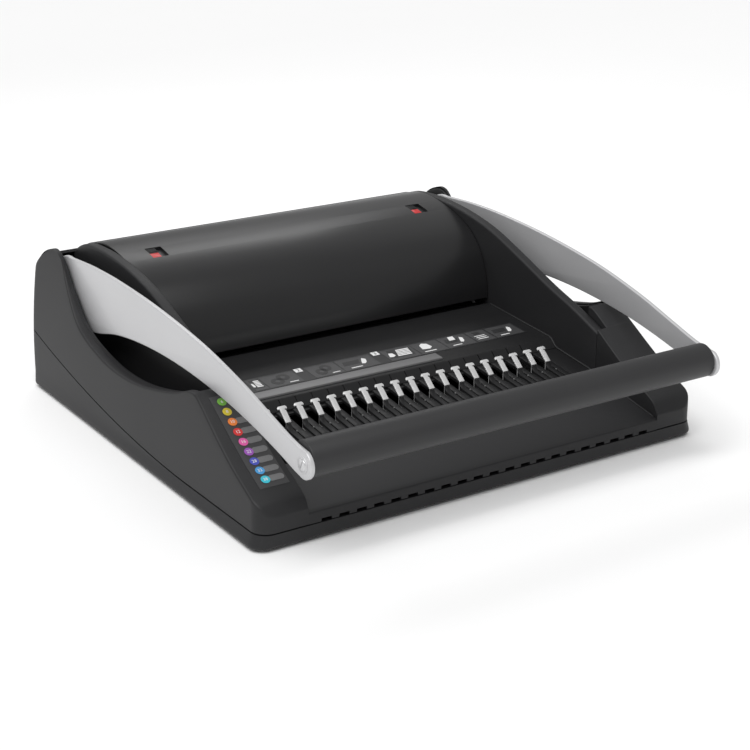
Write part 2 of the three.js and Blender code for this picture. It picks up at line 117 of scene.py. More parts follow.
class Finish:
    """A material with one main shader, built from calls that each add a node."""

    def __init__(self, name, **constants):
        self.material = bpy.data.materials.new(name)
        self.material.use_nodes = True
        self.tree = self.material.node_tree
        self.shader = self.tree.nodes["Principled BSDF"]
        for key, value in constants.items():
            self.shader.inputs[key.replace("_", " ")].default_value = value

    def node(self, kind, inputs=None, settings=None, out=0):
        made = self.tree.nodes.new(kind)
        for key, value in (settings or {}).items():
            if key == "stops":
                ramp = made.color_ramp
                for stop, (place, colour) in zip(ramp.elements, value):
                    stop.position, stop.color = place, colour
            else:
                setattr(made, key, value)
        for key, value in (inputs or {}).items():
            if isinstance(value, Value):
                self.tree.links.new(value.socket, made.inputs[key])
            else:
                made.inputs[key].default_value = value
        return Value(self, made.outputs[out])

    def feed(self, name, value):
        self.tree.links.new(value.socket, self.shader.inputs[name])

    def place(self):
        return self.node("ShaderNodeTexCoord", out="Object")

    def grain(self, scale, detail=2.0, stretch=None):
        where = self.place()
        if stretch:
            where = self.node("ShaderNodeMapping", {"Vector": where, "Scale": stretch})
        return self.node(
            "ShaderNodeTexNoise",
            {"Vector": where, "Scale": scale, "Detail": detail, "Roughness": 0.55},
        )

    def tint(self, amount, dark, light):
        mixed = self.node(
            "ShaderNodeMix",
            {"Factor": amount, "A": (*dark, 1), "B": (*light, 1)},
            {"data_type": "RGBA"},
            out="Result",
        )
        self.feed("Base Color", mixed)

    def relief(self, height, strength, depth):
        bump = self.node(
            "ShaderNodeBump", {"Height": height, "Strength": strength, "Distance": depth}
        )
        self.feed("Normal", bump)


def plain_finish(name, dark, light, patch, rough, spread, fleck, metallic=0.0):
    """A finish that varies a little in colour by patch and in gloss by fleck."""
    finish = Finish(name, Metallic=metallic)
    finish.tint(finish.grain(patch), dark, light)
    finish.feed("Roughness", rough + spread * finish.grain(fleck))
    return finish


floor_finish = Finish("floor_paint", Base_Color=(0.93, 0.93, 0.93, 1), Roughness=0.7)
floor_finish.feed("Roughness", 0.66 + 0.08 * floor_finish.grain(6.0))
floor_mesh = bpy.data.meshes.new("floor")
bm = bmesh.new()
bmesh.ops.create_grid(bm, x_segments=2, y_segments=2, size=FLOOR_SIZE / 2)
bm.to_mesh(floor_mesh)
bm.free()
floor_mesh.materials.append(floor_finish.material)
floor = bpy.data.objects.new("floor", floor_mesh)
bpy.context.scene.collection.objects.link(floor)

# ---- tray --------------------------------------------------------------------------------
# The lower half of the body: one charcoal moulding with a spark-eroded grain, open at the
# top, rounded along its foot, with an opening at the back for the chip drawer.
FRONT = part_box("base_tray")[0].y
DEPTH = 0.393
FOOT_HALF = 0.200
SEAM_HALF = 0.1956
TOP_HALF = 0.184
SPLAY = 0.02
SEAM = 0.0135
TOP = 0.131
TRAY_FLOOR = 0.002
TRAY_WALL = 0.003
CORNER = 0.012
TRAY_FILLET = 0.003
SEAM_LINE = 0.0011
DRAWER_GAP = 0.0005


def seam_height(y):
    run = max(0.0, (y - 0.110) / (DEPTH - 0.110))
    return SEAM + 0.0405 * run**1.8


def half_width(y, z):
    """Half the width of the body: flared at the foot, closing in at the top, wider behind."""
    if z < SEAM:
        flare = (FOOT_HALF - SEAM_HALF) * (1 - 0.75 * y / DEPTH)
        return SEAM_HALF + flare * (1 - z / SEAM) + SPLAY * y
    rise = (z - SEAM) / (TOP - SEAM)
    return SEAM_HALF + (TOP_HALF - SEAM_HALF) * rise**2 + SPLAY * y


def plan_ring(height, inset):
    """A ring round the body, level by a height(y), some way in from its outer face."""
    radius = CORNER - inset
    near, far = inset + radius, DEPTH - inset - radius
    turns = [math.radians(9 * k) for k in range(11)]
    side = [(radius * (math.sin(a) - 1), near - radius * math.cos(a)) for a in turns]
    side += [(0.0, near + (far - near) * k / 44) for k in range(1, 44)]
    side += [(radius * (math.cos(a) - 1), far + radius * math.sin(a)) for a in turns]
    right = []
    for across, y in side:
        z = height(y)
        right.append(Vector((half_width(y, z) - inset + across, FRONT + y, z)))
    return right + [Vector((-p.x, p.y, p.z)) for p in reversed(right)]


def skin(rings):
    """A closed skin run through rings of points, with flat ends."""
    columns, rows = len(rings[0]), len(rings) - 1
    bm = bmesh.new()
    bmesh.ops.create_grid(bm, x_segments=columns, y_segments=rows, size=0.5)
    for v in bm.verts:
        column = round((v.co.x + 0.5) * columns) % columns
        row = round((v.co.y + 0.5) * rows)
        v.co = rings[row][column]
    bmesh.ops.remove_doubles(bm, verts=bm.verts, dist=1e-7)
    ends = [e for e in bm.edges if e.is_boundary]
    bmesh.ops.holes_fill(bm, edges=ends, sides=0)
    bmesh.ops.recalc_face_normals(bm, faces=bm.faces)
    return bm


def make_piece(name, bm, *finishes, angle=30):
    """Turns a bmesh into a piece at the origin, smooth but for its hard edges."""
    mesh = bpy.data.meshes.new(name)
    bm.to_mesh(mesh)
    bm.free()
    mesh.shade_smooth()
    mesh.set_sharp_from_angle(angle=math.radians(angle))
    for finish in finishes:
        mesh.materials.append(finish.material)
    piece = bpy.data.objects.new(name, mesh)
    bpy.context.scene.collection.objects.link(piece)
    return piece


def settle(piece, angle=30):
    """Applies a piece's modifiers to its mesh."""
    graph = bpy.context.evaluated_depsgraph_get()
    graph.update()
    mesh = bpy.data.meshes.new_from_object(piece.evaluated_get(graph))
    piece.modifiers.clear()
    piece.data = mesh
    mesh.shade_smooth()
    mesh.set_sharp_from_angle(angle=math.radians(angle))


def cut_out(piece, bm, angle=30):
    """Takes a bmesh's closed shapes out of a piece."""
    mesh = bpy.data.meshes.new("cutter")
    bm.to_mesh(mesh)
    bm.free()
    cutter = bpy.data.objects.new("cutter", mesh)
    bpy.context.scene.collection.objects.link(cutter)
    cut = piece.modifiers.new("cut", "BOOLEAN")
    cut.object = cutter
    cut.operation = "DIFFERENCE"
    cut.solver = "EXACT"
    settle(piece, angle)
    bpy.data.objects.remove(cutter)


def add_block(bm, low, high):
    """Adds a plain block between two corners, to be cut, bevelled or cut with."""
    middle = (Vector(low) + Vector(high)) / 2
    size = Vector(high) - Vector(low)
    made = bmesh.ops.create_cube(bm, size=1.0)["verts"]
    bmesh.ops.scale(bm, vec=size, verts=made)
    bmesh.ops.translate(bm, vec=middle, verts=made)
    return made


def cut_block(piece, low, high):
    """Takes a plain block between two corners out of a piece."""
    bm = bmesh.new()
    add_block(bm, low, high)
    cut_out(piece, bm)


def body_plastic(name, dark, light, rough, grain_depth=0.00004):
    """Moulded plastic with an eroded grain and a faint unevenness of gloss."""
    finish = Finish(name, Roughness=rough, IOR=1.46, Specular_IOR_Level=0.34)
    cloud = finish.grain(14.0, 3.0)
    fine = finish.grain(1900.0, 2.0)
    finish.tint(cloud * 0.7 + fine * 0.3, dark, light)
    finish.feed("Roughness", rough - 0.05 + 0.06 * cloud + 0.05 * fine)
    finish.relief(fine, 0.35, grain_depth)
    return finish


housing_plastic = body_plastic("housing_plastic", (0.0150, 0.0150, 0.0160), (0.0210, 0.0210, 0.0222), 0.50)

rings = []
for k in range(6):
    turn = math.radians(18 * k)
    level = TRAY_FLOOR + TRAY_FILLET * (1 - math.cos(turn))
    rings.append(plan_ring(lambda y: level, TRAY_FILLET * (1 - math.sin(turn))))


def rim(y):
    return seam_height(y) - SEAM_LINE / 2


for k in range(1, 6):
    low = TRAY_FLOOR + TRAY_FILLET
    rings.append(plan_ring(lambda y: low + (rim(y) - low) * k / 5, 0.0))
rings.append(plan_ring(rim, TRAY_WALL))
rings.append(plan_ring(lambda y: TRAY_FLOOR + 0.0025, TRAY_WALL))
tray = make_piece("tray", skin(rings), housing_plastic)
drawer_low, drawer_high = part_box("chip_tray")
cut_block(
    tray,
    (drawer_low.x - DRAWER_GAP, 0.19, drawer_low.z - DRAWER_GAP),
    (drawer_high.x + DRAWER_GAP, 0.24, drawer_high.z + 2 * DRAWER_GAP),
)
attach(tray, "base")
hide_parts("base_tray")

# ---- cheeks ------------------------------------------------------------------------------
# The two high sides of the top housing. Each is one charcoal moulding: a low nose with the
# chart slope in front, a crest, and a wall that dips in the middle beside the arm.
CHEEK_TOP = [
    (0.000, 0.0260), (0.006, 0.0345), (0.018, 0.0410), (0.038, 0.0510), (0.060, 0.0640),
    (0.086, 0.0805), (0.097, 0.0855), (0.108, 0.0840), (0.130, 0.0760), (0.180, 0.0655),
    (0.222, 0.0630), (0.258, 0.0675), (0.293, 0.0790), (0.318, 0.1030), (0.334, 0.1240),
    (0.345, 0.1295), (0.358, 0.1268), (0.371, 0.1205), (0.382, 0.1110), (0.389, 0.0985),
    (0.393, 0.0840),
]
NOSE_INNER = 0.1570
NOSE_END = 0.0757
STEP_INNER = 0.1663
STEP_END = 0.0990
CHEEK_INNER = 0.1818
CHEEK_ROUND = 0.0018
SLOT_ROUND = 0.0008
WALL_ROWS = 8
LIP_WIDTH = 0.0034
LIP_DROP = 0.0016


def curve_through(points, steps):
    """A smooth line through points given as (y, z), both from the body's front."""
    line = []
    last = len(points) - 1
    for i in range(last):
        a, b, c, d = (Vector(points[min(max(k, 0), last)]) for k in (i - 1, i, i + 1, i + 2))
        for s in range(steps):
            t = s / steps
            even = 2 * b + (c - a) * t + (2 * a - 5 * b + 4 * c - d) * t**2
            line.append((even + (3 * b - a - 3 * c + d) * t**3) / 2)
    line.append(Vector(points[-1]))
    return line


def height_on(line, y):
    for low, high in zip(line, line[1:]):
        if low.x <= y <= high.x and high.x > low.x:
            return low.y + (high.y - low.y) * (y - low.x) / (high.x - low.x)
    return line[0].y if y < line[0].x else line[-1].y


def corner_inset(y):
    """How far the rounded upright corners pull the side in, near the front and the back."""
    near = max(0.0, CORNER - min(y, DEPTH - y))
    return CORNER - math.sqrt(CORNER**2 - near**2)


def quarter(centre, radius, start, steps=4):
    """Points of a quarter round in (x, z), turning clockwise from an angle in degrees."""
    points = []
    for i in range(steps + 1):
        angle = math.radians(start - 90 * i / steps)
        points.append((centre[0] + radius * math.cos(angle), centre[1] + radius * math.sin(angle)))
    return points


def wall_ring(y, inner, outer, bottom, top, inner_round, outer_round):
    """A section across a wall, from its inner foot over the top to its outer foot."""
    ring = [(inner, bottom)]
    ring += quarter((inner + inner_round, top - inner_round), inner_round, 180)
    edge = outer(top - outer_round)
    ring += quarter((edge - outer_round, top - outer_round), outer_round, 90)
    for i in range(1, WALL_ROWS + 1):
        z = top - outer_round + (bottom - top + outer_round) * i / WALL_ROWS
        ring.append((outer(z), z))
    return [Vector((x, FRONT + y, z)) for x, z in ring]


def stations(start, end, step):
    """Depths along the body, closer together where the upright corners are round."""
    corner = [CORNER * (1 - math.cos(math.radians(9 * i))) for i in range(11)]
    marks = [*corner, *(DEPTH - c for c in corner)]
    marks += [start + (end - start) * i / step for i in range(step + 1)]
    inside = sorted(m for m in marks if start <= m <= end)
    kept = [inside[0]]
    for mark in inside[1:]:
        if mark - kept[-1] > 0.0002:
            kept.append(mark)
    kept[-1] = end
    return kept


def join(first, second):
    """Adds the second bmesh to the first."""
    spare = bpy.data.meshes.new("spare")
    second.to_mesh(spare)
    second.free()
    first.from_mesh(spare)
    bpy.data.meshes.remove(spare)
    return first


def mirror_x(bm):
    bmesh.ops.scale(bm, vec=(-1, 1, 1), verts=bm.verts)
    bmesh.ops.recalc_face_normals(bm, faces=bm.faces)
    return bm


cheek_line = curve_through(CHEEK_TOP, 8)


def cheek_ring(y, inner, lipped):
    """A section across a cheek; behind the nose a low lip runs along the arm's slot."""
    top = height_on(cheek_line, y)
    bottom = seam_height(y) + SEAM_LINE / 2
    pull = corner_inset(y)
    outer = lambda z: half_width(y, z) - pull
    crown = inner + LIP_WIDTH if lipped else inner
    ring = wall_ring(y, crown, outer, bottom, top, SLOT_ROUND, CHEEK_ROUND)
    low = top - LIP_DROP
    if lipped:
        edge = [(inner, bottom), (inner, low - 0.0004), (inner + 0.0004, low), (crown, low)]
    else:
        edge = [(inner, bottom + (low - bottom) * k / 4) for k in range(4)]
    return [Vector((x, FRONT + y, z)) for x, z in edge] + ring[1:]


def cheek_mesh():
    spans = [
        (0.0, NOSE_END, 40, lambda y: NOSE_INNER, False),
        (NOSE_END, STEP_END, 10, lambda y: STEP_INNER, False),
        (STEP_END, DEPTH, 90, lambda y: CHEEK_INNER + SPLAY * y, True),
    ]
    rings = []
    for start, end, step, inner, lipped in spans:
        for y in stations(start, end, step):
            rings.append(cheek_ring(y, inner(y), lipped))
    return skin(rings)


for side, mesh in (("right", cheek_mesh()), ("left", mirror_x(cheek_mesh()))):
    cheek = make_piece(side + "_cheek_shell", mesh, housing_plastic, angle=38)
    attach(cheek, "base")
    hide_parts(side + "_cheek")

# ---- inner walls -------------------------------------------------------------------------
# A straight narrow wall each side of the comb bay, moulded like the cheeks. It hides the
# arm's slot and carries the bushing of the handle shaft.
INNER_TOP = [
    (0.0763, 0.0710), (0.108, 0.0830), (0.143, 0.0940), (0.187, 0.1100), (0.225, 0.1225),
    (0.262, 0.1295), (0.295, 0.1323), (0.320, 0.1323), (0.345, 0.1300), (0.363, 0.1235),
    (0.3712, 0.1170),
]
INNER_OUTER = 0.1660
INNER_ROUND = 0.0022
inner_line = curve_through(INNER_TOP, 8)


def inner_wall_mesh():
    rings = []
    for y in stations(INNER_TOP[0][0], INNER_TOP[-1][0], 80):
        top = height_on(inner_line, y)
        bottom = seam_height(y) + SEAM_LINE / 2
        rings.append(
            wall_ring(y, NOSE_INNER, lambda z: INNER_OUTER, bottom, top, INNER_ROUND, INNER_ROUND)
        )
    return skin(rings)


for side, mesh in (("right", inner_wall_mesh()), ("left", mirror_x(inner_wall_mesh()))):
    inner_wall = make_piece(side + "_inner_shell", mesh, housing_plastic, angle=38)
    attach(inner_wall, "base")
    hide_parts(side + "_inner_wall")

# ---- apron -------------------------------------------------------------------------------
# The front of the top housing: a low upright face with a soft crest, and behind it a smooth
# rest that slopes up under the grip. A row of small marks is cut in at the comb pitch.
PITCH = 0.0142875
MARKS = 21
APRON = [
    (0.0000, 0.0138), (0.0030, 0.0138), (0.0030, 0.0192), (0.0600, 0.0300), (0.0600, 0.0330),
    (0.0040, 0.0232), (0.0000, 0.0222),
]
CREST_ROUND = 0.0010
MARK_HALF = 0.0042
MARK_TOP = 0.0160


def thicken(bm, faces, step):
    """Turns flat faces into closed plates, one step thick."""
    grown = bmesh.ops.extrude_face_region(bm, geom=faces)["geom"]
    moved = [g for g in grown if isinstance(g, bmesh.types.BMVert)]
    bmesh.ops.translate(bm, vec=step, verts=moved)


def prism(outline, low, high):
    """A side outline, (y, z) from the body's front, run along X."""
    bm = bmesh.new()
    corners = [bm.verts.new((low, FRONT + y, z)) for y, z in outline]
    thicken(bm, [bm.faces.new(corners)], (high - low, 0, 0))
    bmesh.ops.recalc_face_normals(bm, faces=bm.faces)
    return bm


def soften(bm, amount, chosen, segments=3):
    """Rounds the edges that a test picks out."""
    edges = [e for e in bm.edges if chosen(e)]
    bmesh.ops.bevel(
        bm,
        geom=edges,
        offset=amount,
        segments=segments,
        profile=0.5,
        affect="EDGES",
        clamp_overlap=True,
        material=-1,
    )


def is_hard(edge):
    return edge.calc_face_angle(0) > 1.0


def is_rim(edge, axis):
    """A hard edge whose ends are level along one axis, as round a flat plate's face."""
    first, second = edge.verts
    return edge.calc_face_angle(0) > 1.2 and abs(first.co[axis] - second.co[axis]) < 1e-6


def near_edge(y, z):
    """Picks the long edge whose side outline point is nearest to (y, z)."""
    spot = Vector((FRONT + y, z))
    return lambda e: all((Vector((v.co.y, v.co.z)) - spot).length < 0.0002 for v in e.verts)


bm = prism(APRON, -NOSE_INNER, NOSE_INNER)
soften(bm, CREST_ROUND, near_edge(0.0000, 0.0222), 5)
soften(bm, CREST_ROUND, near_edge(0.0040, 0.0232), 5)
apron = make_piece("apron", bm, housing_plastic)
bm = bmesh.new()
for i in range(MARKS):
    x = (i - (MARKS - 1) / 2) * PITCH
    add_block(bm, (x - MARK_HALF, FRONT - 0.001, 0.012), (x + MARK_HALF, FRONT + 0.0035, MARK_TOP))
cut_out(apron, bm)
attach(apron, "base")
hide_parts("front_apron")

# ---- ledges ------------------------------------------------------------------------------
# A thin bead along the foot of each inner wall, part of the same moulding, that follows the
# rest, the riser and the deck and closes the joint with them.
LEDGE = [
    (0.0040, 0.0234), (0.0600, 0.0333), (0.0840, 0.0387), (0.1255, 0.0436), (0.1285, 0.0450),
    (0.1335, 0.0497), (0.1365, 0.0506), (0.2200, 0.0560),
]
LEDGE_HALF = 0.0009


def bead(path, x, radius, sides=8):
    """A round bead along a path of (y, z) points at one x."""
    rings = []
    for i, (y, z) in enumerate(path):
        before, after = Vector(path[max(i - 1, 0)]), Vector(path[min(i + 1, len(path) - 1)])
        along = (after - before).normalized()
        ring = []
        for k in range(sides):
            angle = 2 * math.pi * k / sides
            lift = radius * math.sin(angle)
            ring.append(
                Vector((x + radius * math.cos(angle), FRONT + y - along.y * lift, z + along.x * lift))
            )
        rings.append(ring)
    return skin(rings)


for side, name in ((-1, "left_ledge"), (1, "right_ledge")):
    bm = bead(LEDGE, side * (NOSE_INNER - 0.0004), LEDGE_HALF)
    ledge = make_piece(name, bm, housing_plastic, angle=50)
    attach(ledge, "base")

# ---- comb rack ---------------------------------------------------------------------------
# The black rest that the plastic comb lies on. Each pitch has a narrow rib that runs up to
# a hook and a wide one beside it, with a deep pocket round the hook and a slit up the riser.
HOLES = 19
RACK_FRONT = 0.0603
RACK_REAR = 0.1267
RACK_HALF = 0.1567
POCKET_FRONT = 0.0950
POCKET_REAR = 0.1235
RIB_HEIGHT = 0.0016
NARROW_RIB = (-0.0024, 0.0022)
WIDE_RIB = (0.0031, 0.0087)
PEG_X = 0.0027


def rack_face(y):
    if y < 0.084:
        return 0.0334 + (y - RACK_FRONT) * 0.0050 / (0.084 - RACK_FRONT)
    return 0.0384 + (y - 0.084) * 0.0049 / (RACK_REAR - 0.084)


def rack_strip(low, high, front, rear, top, bottom):
    """A strip of the rack between two depths, top and bottom given under its face."""
    marks = [front, *([0.084] if front < 0.084 < rear else []), rear]
    outline = [(y, rack_face(y) - top) for y in marks]
    outline += [(y, rack_face(y) - bottom) for y in reversed(marks)]
    return prism(outline, low, high)


def rib(low, high, front, rear):
    bm = rack_strip(low, high, front, rear, 0.0, RIB_HEIGHT + 0.001)
    soften(bm, 0.0005, lambda e: all(v.co.z > rack_face(v.co.y - FRONT) - 1e-5 for v in e.verts), 2)
    return bm


def narrow_rib(low, high):
    """A rib whose rear end rises in front of its hook and hides the hook's shank."""
    ramp = [(0.0985, rack_face(0.0985)), (0.1008, 0.0415), (0.1022, 0.0436)]
    foot = [(0.1022, 0.0375), (RACK_FRONT, rack_face(RACK_FRONT) - RIB_HEIGHT - 0.001)]
    bm = prism([(RACK_FRONT, rack_face(RACK_FRONT)), (0.084, rack_face(0.084)), *ramp, *foot], low, high)
    soften(bm, 0.0004, lambda e: is_rim(e, 0), 2)
    return bm


comb_black = Finish("comb_black", Roughness=0.42, IOR=1.46, Specular_IOR_Level=0.26)
comb_cloud = comb_black.grain(30.0, 3.0)
comb_black.tint(comb_cloud, (0.0090, 0.0090, 0.0096), (0.0140, 0.0140, 0.0146))
comb_black.feed("Roughness", 0.36 + 0.12 * comb_black.grain(900.0))
comb_black.relief(comb_black.grain(1700.0), 0.25, 0.00003)

bm = rack_strip(-RACK_HALF, RACK_HALF, RACK_FRONT, POCKET_FRONT, RIB_HEIGHT, 0.0034)
join(bm, rack_strip(-RACK_HALF, RACK_HALF, POCKET_REAR, RACK_REAR, RIB_HEIGHT, 0.0034))
for i in range(-1, HOLES):
    x = (i - (HOLES - 1) / 2) * PITCH
    join(bm, rib(x + WIDE_RIB[0], x + WIDE_RIB[1], RACK_FRONT, RACK_REAR))
    if i >= 0:
        join(bm, narrow_rib(x + NARROW_RIB[0], x + NARROW_RIB[1]))
for low, high in ((-RACK_HALF, -0.1442), (0.1372, RACK_HALF)):
    join(bm, rib(low, high, RACK_FRONT, RACK_REAR))
rack = make_piece("rack", bm, comb_black)
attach(rack, "base")
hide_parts("comb_rack")

# ---- comb pegs ---------------------------------------------------------------------------
# A small stud in the groove before each hook, moulded on the rack, that keeps the back
# of the comb in place. Its pale grey colour is a painted highlight on the stud.
# Pale grey base colour: painted highlight on each small stud.
peg_highlight_grey = Finish("peg_highlight_grey", Roughness=0.35)
peg_highlight_grey.tint(peg_highlight_grey.grain(400.0), (0.10, 0.10, 0.10), (0.16, 0.16, 0.16))
bm = bmesh.new()
for i in range(HOLES):
    x = (i - (HOLES - 1) / 2) * PITCH
    made = bmesh.ops.create_uvsphere(bm, u_segments=10, v_segments=6, radius=0.0007)["verts"]
    bmesh.ops.translate(bm, vec=(x + PEG_X, FRONT + 0.0945, rack_face(0.0945) + 0.0001), verts=made)
pegs = make_piece("comb_pegs", bm, peg_highlight_grey)
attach(pegs, "base")

# ---- deck --------------------------------------------------------------------------------
# The black shelf that carries the sheets into the throat, moulded with a rounded riser
# behind the comb and a small crest before the throat.
DECK = [
    (0.1270, 0.0404), (0.1315, 0.0444), (0.1380, 0.0476), (0.2210, 0.0532), (0.2260, 0.0520),
    (0.2334, 0.0520), (0.2334, 0.0545), (0.2270, 0.0545), (0.2222, 0.0562), (0.2205, 0.0557),
    (0.1345, 0.0502), (0.1270, 0.0434),
]
SLIT_X = -0.0049
SLIT_HALF = 0.0005

bm = prism(DECK, -RACK_HALF, RACK_HALF)
soften(bm, 0.0012, near_edge(0.1345, 0.0502), 5)
soften(bm, 0.0006, near_edge(0.2222, 0.0562), 3)
deck = make_piece("deck", bm, comb_black)
bm = bmesh.new()
for i in range(HOLES):
    x = (i - (HOLES - 1) / 2) * PITCH + SLIT_X
    made = add_block(bm, (x - SLIT_HALF, -0.0060, -0.0010), (x + SLIT_HALF, 0.0060, 0.0010))
    bmesh.ops.rotate(bm, cent=(0, 0, 0), matrix=Matrix.Rotation(math.atan2(68, 75), 3, "X"), verts=made)
    bmesh.ops.translate(bm, vec=(0, FRONT + 0.1297, 0.0459), verts=made)
cut_out(deck, bm)
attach(deck, "base")
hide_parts("comb_deck")


def deck_face(y):
    return 0.0502 + (y - 0.1345) * 0.0056 / 0.0875


# ---- gauge strip -------------------------------------------------------------------------
# A flat grey plastic strip stuck on the deck behind the hooks, from the left up to a third
# of the way past the middle, where its end is cut square.
grey_plastic = Finish("grey_plastic", Roughness=0.42)
grey_cloud = grey_plastic.grain(25.0, 3.0)
grey_plastic.tint(grey_cloud, (0.135, 0.135, 0.137), (0.165, 0.165, 0.167))
grey_plastic.feed("Roughness", 0.36 + 0.14 * grey_cloud)
grey_plastic.relief(grey_plastic.grain(1500.0), 0.2, 0.00003)
strip_low, strip_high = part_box("gauge_strip")
front, rear = strip_low.y - FRONT, strip_high.y - FRONT
strip_outline = [
    (front, deck_face(front)), (rear, deck_face(rear)),
    (rear, deck_face(rear) + 0.0015), (front, deck_face(front) + 0.0015),
]
bm = prism(strip_outline, strip_low.x, strip_high.x)
soften(bm, 0.0004, lambda e: all(v.co.z > deck_face(v.co.y - FRONT) + 0.001 for v in e.verts))
strip = make_piece("gauge_strip_bar", bm, grey_plastic)
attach(strip, "base")
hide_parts("gauge_strip")

# ---- instruction label -------------------------------------------------------------------
# A long printed label stuck on the deck: black, with slanting dark grey panels that show
# the steps as small white signs, and numbered white tags between them.
LABEL_PANELS = [
    (-0.1120, -0.1010, "sheet"), (-0.1000, -0.0700, "coil"), (-0.0590, -0.0328, "coil"),
    (-0.0316, 0.0010, "press"), (0.0115, 0.0400, "sheet"), (0.0412, 0.0668, "hand"),
    (0.0680, 0.0953, "feed"), (0.0965, 0.1150, "lines"), (0.1165, 0.1442, "press"),
]
LABEL_TAGS = [(-0.0650, "2"), (0.0068, "3")]
PANEL_FRONT = 0.1542
PANEL_REAR = 0.1752
PRINT_LIFT = 0.00022
PRINT_THICK = 0.00008


def print_sheet(name, finish):
    """An empty flat print on the deck, filled by add_patch and laid by lay_print."""
    return {"name": name, "finish": finish, "bm": bmesh.new()}


def add_patch(sheet, corners):
    """A flat patch with corners given as (x, y from the body's front)."""
    verts = [sheet["bm"].verts.new((x, FRONT + y, 0.0)) for x, y in corners]
    sheet["bm"].faces.new(verts)


def lay_print(sheet, lift):
    """Gives a print a little thickness and lays it on the deck's slope."""
    bm = sheet["bm"]
    thicken(bm, bm.faces[:], (0, 0, PRINT_THICK))
    for v in bm.verts:
        v.co.z += deck_face(v.co.y - FRONT) + lift
    bmesh.ops.recalc_face_normals(bm, faces=bm.faces)
    piece = make_piece(sheet["name"], bm, sheet["finish"])
    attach(piece, "base")


def print_finish(name, dark, light, rough):
    """Screen print: nearly even colour with a trace of ink unevenness."""
    finish = Finish(name, Roughness=rough)
    finish.tint(finish.grain(700.0), dark, light)
    finish.feed("Roughness", rough - 0.04 + 0.08 * finish.grain(120.0))
    return finish


label_black = print_finish("label_black", (0.010, 0.010, 0.011), (0.016, 0.016, 0.017), 0.38)
label_grey = print_finish("label_grey", (0.036, 0.036, 0.037), (0.054, 0.054, 0.056), 0.42)
label_dark = print_finish("label_dark", (0.014, 0.014, 0.015), (0.020, 0.020, 0.021), 0.45)
label_white = print_finish("label_white", (0.66, 0.66, 0.66), (0.80, 0.80, 0.80), 0.5)

label_low, label_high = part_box("instruction_label")
label_sheet = print_sheet("label_strip", label_black)
front, rear = label_low.y - FRONT, label_high.y - FRONT
add_patch(
    label_sheet,
    [(label_low.x, front), (label_high.x, front), (label_high.x, rear), (label_low.x, rear)],
)
lay_print(label_sheet, 0.0001)
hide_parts("instruction_label")

panels = print_sheet("label_panels", label_grey)
darks = print_sheet("label_drawings", label_dark)
mids = print_sheet("label_rings", label_grey)
whites = print_sheet("label_signs", label_white)


def signs_for(kind, low, high):
    """The small drawing of one panel, from its left and right edges."""
    at = lambda u, v: (low + (high - low) * u, PANEL_FRONT + (PANEL_REAR - PANEL_FRONT) * v)
    patch = lambda sheet, *corners: add_patch(sheet, [at(u, v) for u, v in corners])
    if kind == "sheet":
        patch(darks, (0.06, 0.20), (0.88, 0.20), (0.96, 0.92), (0.20, 0.92))
        for k in range(5):
            low_edge = 0.28 + 0.12 * k
            patch(whites, (0.34 + 0.03 * k, low_edge), (0.80 + 0.02 * k, low_edge - 0.02),
                  (0.82 + 0.02 * k, low_edge + 0.06), (0.36 + 0.03 * k, low_edge + 0.08))
        patch(whites, (0.08, 0.34), (0.20, 0.30), (0.30, 0.40), (0.28, 0.62), (0.16, 0.66))
    if kind == "coil":
        for turn in (0.36, 0.60):
            ring = [
                (turn + 0.19 * math.cos(a * math.pi / 6), turn + 0.04 + 0.27 * math.sin(a * math.pi / 6))
                for a in range(12)
            ]
            patch(darks, *ring)
            core = [(turn + (u - turn) * 0.35, turn + 0.04 + (v - turn - 0.04) * 0.35) for u, v in ring]
            patch(mids, *core)
        patch(whites, (0.62, 0.10), (0.88, 0.10), (0.88, 0.15), (0.62, 0.15))
    if kind in ("press", "feed"):
        patch(darks, (0.10, 0.42), (0.55, 0.42), (0.62, 0.75), (0.16, 0.75))
        patch(whites, (0.58, 0.35), (0.66, 0.30), (0.74, 0.42), (0.80, 0.66), (0.72, 0.78), (0.66, 0.62))
        patch(whites, (0.20, 0.12), (0.52, 0.12), (0.52, 0.18), (0.20, 0.18))
    if kind == "feed":
        patch(whites, (0.30, 0.62), (0.52, 0.62), (0.58, 0.95), (0.38, 0.95))
    if kind == "hand":
        patch(whites, (0.20, 0.40), (0.46, 0.34), (0.60, 0.48), (0.56, 0.80), (0.40, 0.90), (0.26, 0.76))
        patch(whites, (0.16, 0.12), (0.60, 0.12), (0.60, 0.18), (0.16, 0.18))
    if kind == "lines":
        for k in range(3):
            patch(whites, (0.18, 0.20 + 0.14 * k), (0.74, 0.20 + 0.14 * k), (0.74, 0.25 + 0.14 * k),
                  (0.18, 0.25 + 0.14 * k))
        patch(darks, (0.30, 0.66), (0.66, 0.66), (0.66, 0.88), (0.30, 0.88))


for low, high, kind in LABEL_PANELS:
    add_patch(
        panels, [(low, PANEL_FRONT), (high, PANEL_FRONT), (high, PANEL_REAR), (low, PANEL_REAR)]
    )
    signs_for(kind, low, high)
for x, number in LABEL_TAGS:
    add_patch(
        whites, [(x - 0.0034, 0.1700), (x + 0.0030, 0.1700), (x + 0.0034, 0.1765), (x - 0.0030, 0.1765)]
    )
lay_print(panels, PRINT_LIFT)
lay_print(darks, PRINT_LIFT + 0.0001)
lay_print(mids, PRINT_LIFT + 0.00014)
lay_print(whites, PRINT_LIFT + 0.00018)


